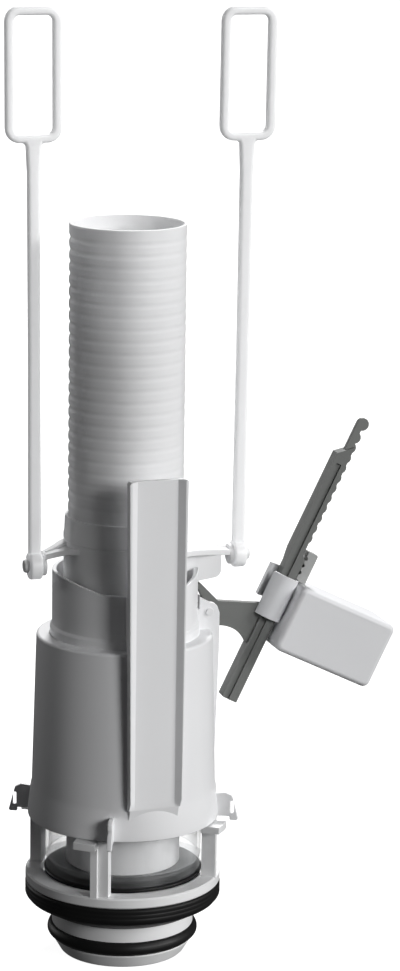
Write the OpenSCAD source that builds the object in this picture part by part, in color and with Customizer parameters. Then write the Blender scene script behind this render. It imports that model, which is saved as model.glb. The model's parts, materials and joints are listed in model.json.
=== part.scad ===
// Dual-flush valve for a concealed cistern: a lifting overflow tube in a two-stage housing,
// raised by either of two hooked rods and held for the part flush by a float-driven catch.
// Frame: Z is the valve's axis and points up, z = 0 is the lower end of the outlet spigot,
// -Y is the side of the guide rail and +X is the side of the float.

/* [Overflow tube] */
// Outer radius of the tube over its ribs
tube_r = 24; // [18:0.1:32]
// Wall thickness of the tube at the ribs
tube_wall = 1.6; // [1.2:0.1:2.4]
// Height of the tube's mouth
tube_top = 311; // [270:1:360]
// Depth of the relief inside the tube's mouth
tube_mouth_h = 12; // [6:0.5:20]
// Distance from rib to rib
rib_pitch = 5; // [4:0.1:8]
// Height of a rib above the tube's plain wall
rib_depth = 0.35; // [0.2:0.05:0.6]

/* [Outlet] */
// Step out from the tube's radius to the water passage in the spigot
passage_step = 0.6; // [0.3:0.1:1.5]
// Step out from the water passage to the mouth of the spigot
mouth_step = 0.6; // [0.3:0.1:1]
// Depth of the mouth of the spigot
mouth_h = 16; // [10:0.5:18]
// Wall thickness at the spigot's lower end
nose_wall = 1.4; // [1.2:0.1:2.5]
// Height of the tapered nose under the lip seal
nose_h = 6; // [4:0.1:9]
// Flare of the spigot from its lower end to its band
spigot_flare = 3.4; // [2.6:0.1:5]
// Reach of the lip seal past the spigot
lip_reach = 1.9; // [1.2:0.1:3]
// Height of the lip seal
lip_seal_h = 6.2; // [5:0.1:9]
// Height of the bare band between the seals
band_h = 6.6; // [4:0.1:12]
// Reach of the base gasket past the base ring
gasket_over = 0.1; // [0:0.1:3]
// Overall height of the base gasket
gasket_h = 12.2; // [9:0.1:16]
// Height of the gasket's upright outer edge
gasket_edge_h = 7.4; // [4:0.1:8]

/* [Valve] */
// Lift of the valve from shut to fully open
valve_lift = 22; // [14:0.5:24]
// Width of the air bell's outer face from the tube
bell_air = 9; // [7:0.1:12]
// Height of the air bell
bell_h = 62; // [45:1:70]
// Wall thickness of the air bell
bell_wall = 1.5; // [1:0.1:2]
// Reach of the flush seal past the air bell
flush_over = 0.3; // [0.1:0.1:2]
// Thickness of the flush seal
flush_seal_t = 5; // [2:0.1:6]

/* [Basket] */
// Room round the flush seal in its pocket
pocket_room = 0.7; // [0.4:0.1:2]
// Width of the base ring outside the pocket
ring_land = 7.3; // [6:0.1:10]
// Height of the base ring
ring_h = 4.5; // [3.5:0.1:7]
// Width of the raised valve seat outside the water passage
seat_flare = 2.8; // [2.2:0.1:4]
// Height of the inlet windows
window_h = 24.5; // [22:0.1:36]
// Width of each basket post
post_w = 7.5; // [6:0.1:10]
// Bearing of the first post, from the front towards the float
post_turn = -30; // [-36:1:-26]

/* [Housing] */
// Step in from the base ring to the skirt
skirt_in = 1; // [0.5:0.1:2]
// Step in from the skirt to the lower stage
skirt_taper = 1.6; // [1:0.1:2]
// Taper of the lower stage up to the shoulder
body_taper = 1.8; // [0.5:0.1:2.4]
// Height of the lower stage
body_h = 79; // [76:0.5:95]
// Width of the neck's outer face from the tube
neck_room = 6.4; // [5.8:0.1:7]
// Height of the neck above the shoulder
neck_h = 27.4; // [24:0.1:32]
// Wall thickness of the housing
housing_wall = 1.8; // [1.4:0.1:2]
// Height of the guide rail's top above the shoulder
rail_rise = 73; // [40:0.5:100]
// Width of the guide rail's floor
rail_w = 17.4; // [14:0.2:22]
// Depth of the guide rail's channel
rail_depth = 1.9; // [1:0.1:3]
// Bearing of the guide rail, from the front towards the float
rail_turn = 3; // [-6:1:8]

/* [Lifting yoke and rods] */
// Height of the rod pins above the neck's rim
pin_rise = 3.3; // [3:0.1:8]
// Distance of the left rod outside the neck
left_out = 8.5; // [7.5:0.1:14]
// Distance of the right rod outside the neck
right_out = 18.8; // [17:0.1:20]
// Radius of the rod pins
rod_pin_r = 2.2; // [1.6:0.1:2.8]
// Width of the rods
rod_w = 5.2; // [4:0.1:6]
// Thickness of the rods from front to back
rod_d = 3.8; // [3:0.1:5]
// Length of a rod from its pin to the top of its loop
rod_len = 228.6; // [180:1:300]
// Lean of the left rod on its pin, towards the front
left_lean = -1.2; // [-5:0.1:5]
// Lean of the right rod on its pin, towards the front
right_lean = 1; // [-5:0.1:5]
// Outer width of a rod's loop
loop_w = 23.4; // [18:0.2:28]
// Outer height of a rod's loop
loop_h = 54.5; // [40:0.5:80]
// Bar thickness of a rod's loop
loop_bar = 3.6; // [2.5:0.1:4.5]

/* [Float lever] */
// Distance of the lever's pivot outside the neck
pivot_out = 5.1; // [4.6:0.1:5.6]
// Height of the lever's pivot above the shoulder
pivot_rise = 7.5; // [7:0.1:9]
// Radius of the lever's axle
axle_r = 1.6; // [1.2:0.1:2]
// Droop of the float arm at rest, which it swings up by to stand upright
droop = 26; // [20:0.5:28]
// Distance of the arm's bar from the pivot
bar_reach = 23; // [22:0.1:30]
// Width of the arm's bar
bar_w = 7.1; // [6:0.1:9]
// Depth of the arm's bar from front to back
bar_d = 5.6; // [4.6:0.1:7]
// Length of the arm's bar below the pivot
bar_below = 31.6; // [24:0.1:40]
// Length of the arm's bar above the pivot
bar_above = 82.7; // [70:0.1:110]
// Distance from tooth to tooth on the rack
tooth_pitch = 4.7; // [3:0.1:6]
// Depth of the rack's teeth
tooth_depth = 1.5; // [1:0.1:2.2]

/* [Float] */
// Length of the float away from its arm
float_len = 46.8; // [36:0.1:60]
// Height of the float along its arm
float_h = 29.3; // [24:0.1:40]
// Depth of the float from front to back
float_d = 24; // [18:0.1:40]
// Wall thickness of the float
float_wall = 1.5; // [1:0.1:2]

/* [Hidden] */
$fn = 96;

// Gaps: moving pieces, pieces seated on each other, and a turning fit
run_gap = 0.3;
seat_gap = 0.05;
turn_gap = 0.05;
cut = 1;

// Edge breaks and joints drawn with an overlap
edge = 0.6;
fine_edge = 0.4;
bury = 1;

// Radii from the tube outwards
tube_in = tube_r - tube_wall;
outlet_bore_r = tube_r + passage_step;
mouth_r = outlet_bore_r + mouth_step;
nose_r = mouth_r + nose_wall;
spigot_r = nose_r + spigot_flare;
lip_seal_r = spigot_r + lip_reach;
seat_r = outlet_bore_r + seat_flare;
bell_r = tube_r + bell_air;
flush_seal_r = bell_r + flush_over;
pocket_r = flush_seal_r + pocket_room;
ring_r = pocket_r + ring_land;
gasket_r = ring_r + gasket_over;
skirt_r = ring_r - skirt_in;
body_low_r = skirt_r - skirt_taper;
body_top_r = body_low_r - body_taper;
neck_r = tube_r + neck_room;
neck_in = neck_r - housing_wall;
left_arm = neck_r + left_out;
right_arm = neck_r + right_out;
pivot_x = neck_r + pivot_out;

// Levels from the spigot's end upwards
lip_z = nose_h;
band_z = lip_z + lip_seal_h;
gasket_z = band_z + band_h;
ring_z = gasket_z + gasket_h;
ring_top = ring_z + ring_h;
skirt_z = ring_top + window_h;
skirt_h = 14.5;
shelf_z = skirt_z + body_h;
rim_z = shelf_z + neck_h;
pin_z = rim_z + pin_rise;
pivot_z = shelf_z + pivot_rise;

// Basket
post_count = 4;
collar_h = 3;
floor_t = 2;
floor_z = ring_z + floor_t;
seat_h = 2;
seat_w = 1.6;
seat_z = floor_z + seat_h;
groove_wall = 1;
seal_groove_r = nose_r + groove_wall;
gasket_lip = 1.4;
lip_land = 2;
post_inset = 0.3;
post_out = ring_r - post_inset;
post_land = 1;
post_in = pocket_r + post_land;
post_rib = 3;
post_step = 1.2;
tongue_t = 2.2;
tongue_h = collar_h;
tongue_r = skirt_r - housing_wall - run_gap;
tab_len = 9.5;
tab_t = 3;
tab_out = 4;
tab_r = post_out + tab_out;

// Housing
shoulder_r = 0.9;
bead_out = 0.9;
bead_r = neck_r + bead_out;
bead_h = 3.2;
bead_slope = 1.2;
v_half = neck_r - fine_edge;
v_floor = 16.5;
v_drop = 4.6;
v_back = 2.4;
notch_w = 10.6;
notch_in = 6;
notch_step = 1.2;
notch_sill = pivot_rise + notch_step;
lug_t = 2;
lug_out = 4.2;
lug_r = tab_r + lug_out;
lug_h = 10.5;
lug_drop = 1.6;
lug_lean = 1.8;
lug_slot = 1.5;
lug_step = 7.2;
rail_t = 2;
rail_in = 0.8;
rail_floor_r = skirt_r - rail_in;
rail_splay = 1.5;
rail_lip = 1;
rail_narrow = 1.3;
rail_start = 13.5;
rail_fade = 3.5;
rail_tail = 7.5;
rail_tail_in = 1.7;
rail_low = skirt_z + rail_start;

// Valve stack, from the flush seal upwards
flush_z = seat_z + run_gap;
plate_z = flush_z + flush_seal_t + seat_gap;
plate_t = 1.6;
socket_h = 5;
plate_top = plate_z + plate_t;
tube_z = plate_top + seat_gap;
tube_mouth_r = tube_in + fine_edge;
plain_low = 6;
plain_top = 2.4;
rib_share = 0.45;
socket_wall = 2.2;
passage_r = tube_in - socket_wall;
thread_r = tube_in - edge - run_gap;
clamp_r = outlet_bore_r - edge;
clamp_h = 4;
guide_h = 12;
guide_t = 1.6;
guide_n = 6;
guide_ring_h = 2.4;
bell_z = plate_top + seat_gap;
bell_top = bell_z + bell_h;
bell_hub_wall = 3.4;
bell_hub_r = tube_r + bell_hub_wall;
bell_hub_h = 9;
bell_crown = 4;
crown_in = 1.2;
ring_wire = 1.2;

// Yoke
nose_u = 8;
hub_in = tube_r + seat_gap;
hub_wall = 1.65;
hub_r = hub_in + hub_wall;
catch_r = neck_in - 2 * run_gap;
catch_h = 3.4;
catch_slope = 2;
catch_room = 1.5;
catch_z = pivot_z + nose_u + catch_room - valve_lift;
lock_rise = 10;
lock_z = pin_z + lock_rise;
lock_h = 10;
lock_wall = 1.45;
lock_r = hub_in + lock_wall;
lock_bead = 0.3;
lock_bead_h = 2;
lock_split = 2;
arm_t = 2.4;
arm_w = 28;
arm_inset = 5.7;
arm_root = hub_r - arm_inset;
arm_tip = 7.5;
eye_wall = 3.5;
eye_r = rod_pin_r + turn_gap + eye_wall;
boss_step = 1.4;
boss_r = eye_r - boss_step;
boss_t = 1.6;
eye_t = rod_w;
pin_head_out = 0.9;
pin_head_r = rod_pin_r + pin_head_out;
pin_head_t = 1.8;
keel_w = 9;
keel_h = 9.6;
keel_len = 15;
keel_round = 3.4;
keel_rise = 1.8;
gusset_h = lock_z - pin_z - arm_t - edge;
gusset_t = 2;
rod_waist = 0.2;
rod_flare = 0.5;
rod_flare_h = 12;
loop_round = 6;

// Lever
web_t = 3;
hub_eye_wall = 2;
lever_hub_r = axle_r + hub_eye_wall;
lever_hub_w = 5.2;
ear_gap = lever_hub_w / 2 + fine_edge;
ear_t = 2.3;
ear_out = 4.5;
ear_x = pivot_x + ear_out;
ear_eye_r = 4;
ear_rise = 6.6;
ear_drop = 8;
ear_start = 26;
ear_low = skirt_z + ear_start;
axle_over = 0.8;
axle_head_t = 0.7;
axle_half = ear_gap + ear_t + axle_over;
stop_out = 0.2;
stop_x = ear_x + stop_out;
stop_root = 3;
stop_h = pivot_rise - lever_hub_r - edge;
heel_x = stop_x + fine_edge;
nose_room = 1.2;
nose_v = hub_r + nose_room - pivot_x;
finger_t = 3.4;
nose_t = 1;
web_in = 3;
web_over = 1.5;
web_top_in = lever_hub_r + web_over;
web_top_out = 12.4;
web_low = -6.6;
web_arc_v = 13.6;
web_arc_r = 14;
web_arc_rise = 3.4;
bar_left = bar_reach;
rack_t = 2;
cheek_shift = 0.8;
cheek_cut = 0.9;
cheek_w = bar_w - cheek_cut;
cheek_slope = 3;
cheek_rise = 5;
groove_v = 0.9;
groove_w = 2.4;
groove_t = 0.9;
groove_end = 4;
rack_from = 41;
rack_back = 3.2;
rack_beyond = 18;
bulb_r = 2.7;
tooth_lead = 1.2;
tooth_r = (tooth_depth * tooth_depth + tooth_pitch * tooth_pitch / 4) / (2 * tooth_depth);
rack_tip = bar_left - cheek_shift + cheek_w + tooth_depth;

// Float
clip_plate = 1.1;
plate_x = max(rack_tip, bar_left + bar_w) + run_gap;
float_left = plate_x + clip_plate + seat_gap;
float_low = -3.2;
float_top = float_low + float_h;
float_round = 3;
clip_low = 7;
clip_top = float_top + fine_edge;
clip_mid = bar_left + bar_w / 2 - fine_edge;
clip_in = norm([bar_w / 2 + fine_edge, bar_d / 2]) + run_gap;
clip_wall = 1.4;
web_room = web_t / 2 + run_gap;
hook_room = 1.6;
hook_low = web_top_out + hook_room;
finger_rise = 2.4;
finger_top = clip_top + finger_rise;
latch_h = 13.5;
latch_w = 3.6;
latch_d = 5;
thumb_n = 3;
thumb_r = 0.9;

// A copy of the children at each basket post
module at_posts() {
    for (i = [0 : post_count - 1])
        rotate([0, 0, post_turn + i * 360 / post_count])
            children();
}

// Places children, drawn with x across the arm and z along it, on the drooping lever
module on_lever() {
    translate([pivot_x, 0, pivot_z])
        rotate([0, droop, 0])
            children();
}

// Flat outline in x and z, made d deep about y = 0
module slab(d) {
    translate([0, d / 2, 0])
        rotate([90, 0, 0])
            linear_extrude(d)
                children();
}

// Rectangle with rounded corners, centred
module round_rect(w, h, r) {
    square([w - 2 * r, h], center = true);
    square([w, h - 2 * r], center = true);
    for (x = [-1, 1])
        for (y = [-1, 1])
            translate([x * (w / 2 - r), y * (h / 2 - r)])
                circle(r, $fn = 48);
}

// Plain ring from radius a to radius b
module ring(a, b, z, h) {
    translate([0, 0, z])
        rotate_extrude()
            translate([a, 0])
                square([b - a, h]);
}

// Spigot, seat pocket, base ring and the four posts that carry the housing
module outlet_basket() {
    color("white") {
        rotate_extrude()
            polygon([[mouth_r, 0], [nose_r - edge, 0], [nose_r, edge],
                     [spigot_r - edge, lip_z - edge], [spigot_r - edge, lip_z], [seal_groove_r, lip_z],
                     [seal_groove_r, band_z], [spigot_r, band_z], [spigot_r, ring_z],
                     [ring_r - edge, ring_z], [ring_r, ring_z + edge], [ring_r, ring_top - edge],
                     [ring_r - edge, ring_top], [pocket_r, ring_top], [pocket_r, floor_z],
                     [seat_r + edge, floor_z], [seat_r - fine_edge, seat_z], [seat_r - seat_w, seat_z],
                     [outlet_bore_r, floor_z], [outlet_bore_r, mouth_h], [mouth_r, mouth_h]]);
        at_posts()
            basket_post();
    }
}

// One post: an upright with an outer rib, a tongue behind the skirt and a bayonet tab
module basket_post() {
    rib_x = -post_w / 2;
    post_z = ring_z + ring_h / 2;
    top_z = skirt_z - run_gap;
    difference() {
        union() {
            translate([-post_w / 2, -post_out + post_step, post_z])
                cube([post_w, post_out - post_in - post_step, top_z - post_z]);
            translate([rib_x, -post_out, post_z])
                cube([post_rib, post_out - post_in, top_z - post_z]);
            translate([-post_w / 2, -tongue_r, top_z - tab_t])
                cube([post_w, tongue_t, tab_t + tongue_h]);
            translate([rib_x + post_rib - tab_len, -tab_r, top_z - tab_t])
                cube([tab_len, tab_r - post_in - bury, tab_t]);
        }
        translate([0, 0, post_z - cut])
            difference() {
                cylinder(r = 2 * tab_r, h = top_z + tongue_h);
                translate([0, 0, -cut])
                    cylinder(r = tongue_r, h = top_z + tongue_h + 2 * cut);
                translate([0, 0, -cut])
                    cylinder(r = tab_r, h = top_z - post_z + 2 * cut);
            }
    }
}

// Conical gasket under the base ring, which seals on the cistern's floor
module base_gasket() {
    inner = spigot_r + seat_gap;
    top = ring_z - seat_gap;
    edge_z = top - gasket_edge_h;
    color([0.06, 0.06, 0.06])
        rotate_extrude()
            polygon([[inner, gasket_z], [inner + gasket_lip, gasket_z], [gasket_r - gasket_lip, edge_z],
                     [gasket_r, edge_z + gasket_lip], [gasket_r, top - edge], [gasket_r - edge, top],
                     [inner, top]]);
}

// Lip seal in the spigot's groove
module lip_seal() {
    inner = seal_groove_r + seat_gap;
    low = lip_z + seat_gap;
    high = band_z - seat_gap;
    mid = (low + high) / 2;
    color([0.06, 0.06, 0.06])
        rotate_extrude()
            polygon([[inner, low], [spigot_r - fine_edge, low], [lip_seal_r, mid - lip_land / 2],
                     [lip_seal_r, mid + lip_land / 2], [spigot_r + edge, high], [inner, high]]);
}

// Two-stage housing with the guide rail, the lever's ears and the bayonet lugs
module valve_housing() {
    color("whitesmoke")
        difference() {
            union() {
                rotate_extrude()
                    housing_outline(0);
                rotate([0, 0, rail_turn])
                    guide_rail();
                lever_ears();
                at_posts()
                    bayonet_lug();
            }
            rotate_extrude()
                housing_outline(housing_wall);
            neck_notches();
            translate([pivot_x, 0, pivot_z])
                rotate([90, 0, 0])
                    cylinder(r = axle_r + seat_gap, h = 2 * axle_half + cut, center = true);
        }
}

// Half section of the housing, drawn in by the wall for the hollow
module housing_outline(wall) {
    low = skirt_z - (wall > 0 ? cut : 0);
    high = rim_z + (wall > 0 ? cut : 0);
    shelf = shelf_z - wall;
    bead = wall > 0 ? neck_r : bead_r;
    polygon([[0, low], [skirt_r - wall, low], [skirt_r - wall, skirt_z + collar_h],
             [body_low_r - wall, skirt_z + skirt_h], [body_top_r - wall, shelf - shoulder_r],
             [body_top_r - shoulder_r / 3 - wall, shelf - shoulder_r / 3],
             [body_top_r - shoulder_r - wall, shelf], [bead - wall, shelf],
             [bead - wall, shelf + bead_h], [neck_r - wall, shelf + bead_h + bead_slope],
             [neck_r - wall, high], [0, high]]);
}

// Splayed channel on the front, carried by a spine on the neck
module guide_rail() {
    floor_half = rail_w / 2;
    mouth_half = floor_half + rail_splay * rail_depth;
    side_half = mouth_half + rail_lip;
    front = rail_floor_r + rail_depth;
    back = rail_floor_r - rail_t;
    top = shelf_z + rail_rise;
    intersection() {
        translate([0, 0, rail_low])
            linear_extrude(top - rail_low)
                polygon([[-side_half, -back], [-side_half, -front], [-mouth_half, -front],
                         [-floor_half, -rail_floor_r], [floor_half, -rail_floor_r], [mouth_half, -front],
                         [side_half, -front], [side_half, -back]]);
        slab(4 * rail_floor_r)
            polygon([[-side_half + rail_narrow, rail_low], [side_half - rail_narrow, rail_low],
                     [side_half, top], [-side_half, top]]);
        rotate([90, 0, 90])
            linear_extrude(2 * side_half + cut, center = true)
                polygon([[-back, rail_low], [-rail_floor_r, rail_low], [-front, rail_low + rail_fade],
                         [-front, top], [-back, top]]);
    }
    rotate([90, 0, 90])
        linear_extrude(rail_w - 2 * rail_tail_in, center = true)
            polygon([[-back, rail_low + bury], [-rail_floor_r, rail_low + bury], [-rail_floor_r, rail_low],
                     [-body_low_r, rail_low - rail_tail], [-back, rail_low - rail_tail]]);
    for (x = [-1, 1])
        translate([x * floor_half - rail_t / 2, -back - rail_t / 2, shelf_z - rail_t])
            cube([rail_t, back + rail_t / 2 - neck_in, neck_h - v_drop + rail_t]);
}

// The two ears that carry the lever, with the stop for its heel between them
module lever_ears() {
    inside = body_top_r - housing_wall / 2;
    for (y = [-1, 1])
        translate([0, y * (ear_gap + ear_t / 2), 0])
            slab(ear_t) {
                polygon([[neck_in, shelf_z - bury], [neck_in, shelf_z + notch_sill],
                         [neck_r + edge, shelf_z + notch_sill], [neck_r + edge, pivot_z + ear_rise],
                         [pivot_x, pivot_z + ear_eye_r], [ear_x, pivot_z], [ear_x, shelf_z - ear_drop],
                         [body_low_r, ear_low], [inside, ear_low], [inside, shelf_z - bury]]);
                intersection() {
                    translate([pivot_x, pivot_z])
                        circle(ear_eye_r);
                    translate([pivot_x, pivot_z])
                        square(ear_x - pivot_x);
                }
            }
    translate([body_top_r - stop_root, -ear_gap - ear_t / 2, shelf_z - bury])
        cube([stop_x - body_top_r + stop_root, 2 * ear_gap + ear_t, stop_h]);
}

// Slotted radial plate on the skirt, hanging past its edge outside the basket's tab
module bayonet_lug() {
    root = skirt_r - housing_wall / 2;
    top_root = body_low_r - housing_wall / 2;
    free = tab_r + run_gap;
    rotate([0, 0, lug_step])
        translate([-lug_t / 2, 0, skirt_z])
            rotate([90, 0, 90])
                mirror([1, 0, 0])
                    linear_extrude(lug_t)
                        difference() {
                            polygon([[root, 0], [free, 0], [free, -lug_drop], [lug_r - edge, -lug_drop],
                                     [lug_r, -lug_drop + edge], [lug_r - lug_lean, lug_h - lug_lean / 2],
                                     [lug_r - 2 * lug_lean, lug_h], [top_root, lug_h - edge]]);
                            translate([(free + lug_r) / 2 - lug_slot, lug_slot])
                                square([lug_slot, lug_h / 2]);
                        }
}

// V cut in the front of the neck, and the notch that the catch and the yoke's keel pass through
module neck_notches() {
    translate([0, -neck_r / 2 - v_back, 0])
        slab(neck_r)
            polygon([[-v_half, rim_z + cut], [-v_half, rim_z], [-v_floor, rim_z - v_drop],
                     [v_floor, rim_z - v_drop], [v_half, rim_z], [v_half, rim_z + cut]]);
    translate([neck_in - notch_in, -notch_w / 2, shelf_z + notch_sill])
        cube([housing_wall + notch_in + edge, notch_w, neck_h]);
}

// Axle of the float lever, held in the two ears
module lever_axle() {
    color("gainsboro")
        translate([pivot_x, axle_half, pivot_z])
            rotate([90, 0, 0])
                union() {
                    cylinder(r = axle_r, h = 2 * axle_half);
                    cylinder(r = axle_r + axle_over, h = axle_head_t);
                }
}

// Overflow tube, ribbed along the length that the yoke can be set on
module overflow_tube() {
    root = tube_r - rib_depth;
    ribs_from = bell_top + plain_low;
    rib_n = floor((tube_top - plain_top - ribs_from) / rib_pitch);
    crest = rib_pitch * rib_share;
    slope = rib_depth;
    color("white")
        rotate_extrude()
            polygon(concat(
                [[tube_in, tube_z], [tube_r, tube_z], [tube_r, ribs_from]],
                [for (i = [0 : rib_n - 1])
                    for (q = [[root, slope], [root, rib_pitch - crest - slope],
                              [tube_r, rib_pitch - crest], [tube_r, rib_pitch]])
                        [q[0], ribs_from + i * rib_pitch + q[1]]],
                [[tube_r, tube_top - edge], [tube_r - edge, tube_top], [tube_mouth_r, tube_top],
                 [tube_mouth_r, tube_top - tube_mouth_h], [tube_in, tube_top - tube_mouth_h]]));
}

// Hub on the tube with the catch ring, the two arms, their pins and the keel in the neck's notch
module lifting_yoke() {
    hub_top = lock_z - seat_gap;
    color("whitesmoke")
        difference() {
            union() {
                ring(hub_in, hub_r, catch_z, hub_top - catch_z);
                rotate_extrude()
                    polygon([[hub_in, catch_z], [catch_r, catch_z], [catch_r, catch_z + catch_h],
                             [hub_r, catch_z + catch_h + catch_slope],
                             [hub_in, catch_z + catch_h + catch_slope]]);
                mirror([1, 0, 0])
                    yoke_arm(left_arm);
                yoke_arm(right_arm);
                left_gusset();
                yoke_keel();
            }
            translate([0, 0, catch_z - cut])
                cylinder(r = hub_in, h = hub_top - catch_z + 2 * cut);
        }
}

// One arm towards +X, ending in a headed pin
module yoke_arm(reach) {
    root = reach - eye_t / 2 - run_gap;
    translate([0, 0, pin_z - arm_t / 2])
        linear_extrude(arm_t)
            polygon([[0, -arm_w / 2], [arm_root, -arm_w / 2], [root, -arm_tip / 2],
                     [root, arm_tip / 2], [arm_root, arm_w / 2], [0, arm_w / 2]]);
    translate([root - boss_t, 0, pin_z])
        rotate([0, 90, 0])
            cylinder(r = boss_r, h = boss_t);
    translate([root - bury, 0, pin_z])
        rotate([0, 90, 0])
            cylinder(r = rod_pin_r, h = eye_t + 2 * run_gap + bury);
    translate([reach + eye_t / 2 + run_gap, 0, pin_z])
        rotate([0, 90, 0])
            cylinder(r1 = pin_head_r, r2 = pin_head_r - edge, h = pin_head_t);
}

// Upright gusset on the left arm
module left_gusset() {
    far = left_arm - eye_t / 2 - run_gap - boss_t + bury;
    slab(gusset_t)
        polygon([[-hub_in, pin_z], [-far, pin_z], [-far, pin_z + arm_t],
                 [-hub_r, pin_z + arm_t + gusset_h], [-hub_in, pin_z + arm_t + gusset_h]]);
}

// Deep rib under the right arm, round at its outer lower corner
module yoke_keel() {
    far = hub_r + keel_len;
    low = pin_z - arm_t / 2 - keel_h;
    end_z = low + keel_rise + keel_round;
    slab(keel_w) {
        polygon([[hub_in, pin_z], [far, pin_z], [far, end_z], [far - keel_round, end_z - keel_round],
                 [hub_in, low]]);
        translate([far - keel_round, end_z])
            circle(keel_round, $fn = 48);
    }
}

// Split collar above the hub that grips the tube's ribs
module tube_lock() {
    color("white")
        difference() {
            rotate_extrude()
                polygon([[hub_in, lock_z], [lock_r + lock_bead, lock_z],
                         [lock_r + lock_bead, lock_z + lock_bead_h], [lock_r, lock_z + lock_bead_h + 1],
                         [lock_r - lock_bead, lock_z + lock_h], [hub_in, lock_z + lock_h]]);
            translate([-lock_split / 2, 0, lock_z - cut])
                cube([lock_split, 2 * lock_r, lock_h + 2 * cut]);
        }
}

// Clear inverted cup on the tube: the trapped air holds the valve open for the full flush
module air_bell() {
    roof = bell_top - bell_hub_h / 2;
    groove_z = bell_top - bell_hub_h / 2 - ring_wire - seat_gap;
    groove_r = hub_in + 2 * ring_wire + seat_gap;
    color([0.85, 0.9, 0.92, 0.4])
        rotate_extrude()
            polygon([[bell_r - bell_wall, bell_z], [bell_r, bell_z], [bell_r, roof - bell_crown],
                     [bell_r - crown_in, roof - crown_in], [bell_r - bell_crown, roof], [bell_hub_r, roof],
                     [bell_hub_r, bell_top], [hub_in, bell_top],
                     [hub_in, groove_z + 2 * (ring_wire + seat_gap)],
                     [groove_r, groove_z + 2 * (ring_wire + seat_gap)], [groove_r, groove_z],
                     [hub_in, groove_z], [hub_in, bell_top - bell_hub_h],
                     [bell_hub_r, bell_top - bell_hub_h], [bell_hub_r, roof - bell_wall],
                     [bell_r - bell_crown, roof - bell_wall],
                     [bell_r - bell_wall - crown_in / 2, roof - bell_wall - crown_in],
                     [bell_r - bell_wall, roof - bell_crown]]);
}

// Ring of round section that seals the bell on the tube
module bell_ring() {
    color([0.08, 0.08, 0.08])
        translate([0, 0, bell_top - bell_hub_h / 2])
            rotate_extrude()
                translate([hub_in + ring_wire, 0])
                    circle(ring_wire, $fn = 32);
}

// Clear plate over the flush seal, with the neck that the seal is clamped on
module valve_plate() {
    neck_low = flush_z - clamp_h - bury;
    plate_r = flush_seal_r - edge;
    color([0.85, 0.9, 0.92, 0.4])
        rotate_extrude()
            polygon([[passage_r, neck_low], [thread_r, neck_low], [thread_r, plate_z],
                     [plate_r, plate_z], [plate_r, plate_top],
                     [tube_in - seat_gap, plate_top], [tube_in - seat_gap, plate_top + socket_h],
                     [passage_r, plate_top + socket_h]]);
}

// Flat flush seal
module flush_seal() {
    inner = thread_r + seat_gap;
    top = flush_z + flush_seal_t;
    color([0.05, 0.05, 0.05])
        rotate_extrude()
            polygon([[inner, flush_z], [flush_seal_r - fine_edge, flush_z],
                     [flush_seal_r, flush_z + fine_edge], [flush_seal_r, top - fine_edge],
                     [flush_seal_r - fine_edge, top], [inner, top]]);
}

// Ring under the seal, with vanes that keep the valve centred in the spigot
module seal_clamp() {
    top = flush_z - seat_gap;
    low = top - clamp_h;
    inner = thread_r + seat_gap;
    color("white") {
        ring(inner, clamp_r, low, clamp_h);
        for (i = [0 : guide_n - 1])
            rotate([0, 0, (i + 0.5) * 360 / guide_n])
                translate([inner + fine_edge, -guide_t / 2, low - guide_h])
                    cube([clamp_r - inner - edge, guide_t, guide_h + bury]);
        ring(inner + fine_edge, inner + guide_t, low - guide_h, guide_ring_h);
    }
}

// Rod with an eye for the yoke's pin and a loop for the actuator's finger
module lift_rod(reach, lean) {
    stem = rod_len - loop_h + loop_bar / 2;
    half = rod_w / 2;
    translate([reach, 0, pin_z])
        rotate([lean, 0, 0]) {
            difference() {
                union() {
                    rotate([0, 90, 0])
                        cylinder(r = eye_r, h = eye_t, center = true);
                    slab(rod_d)
                        polygon([[-half, 0], [half, 0], [half - rod_waist, stem / 2],
                                 [half, stem - rod_flare_h], [half + rod_flare, stem],
                                 [-half - rod_flare, stem], [-half, stem - rod_flare_h],
                                 [-half + rod_waist, stem / 2]]);
                }
                rotate([0, 90, 0])
                    cylinder(r = rod_pin_r + turn_gap, h = eye_t + 2 * cut, center = true);
            }
            translate([0, 0, rod_len - loop_h / 2])
                slab(rod_d)
                    difference() {
                        round_rect(loop_w, loop_h, loop_round);
                        round_rect(loop_w - 2 * loop_bar, loop_h - 2 * loop_bar, loop_round - loop_bar / 2);
                    }
        }
}

module left_lift_rod() {
    color("white")
        lift_rod(-left_arm, left_lean);
}

module right_lift_rod() {
    color("white")
        lift_rod(right_arm, right_lean);
}

// Lever with the catch finger, the hub, the web and the float's bar
module float_lever() {
    color([0.42, 0.43, 0.42])
        difference() {
            on_lever()
                lever_form();
            translate([0, -lever_hub_w, 0])
                cube([heel_x, 2 * lever_hub_w, shelf_z + stop_h + run_gap]);
        }
}

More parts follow.
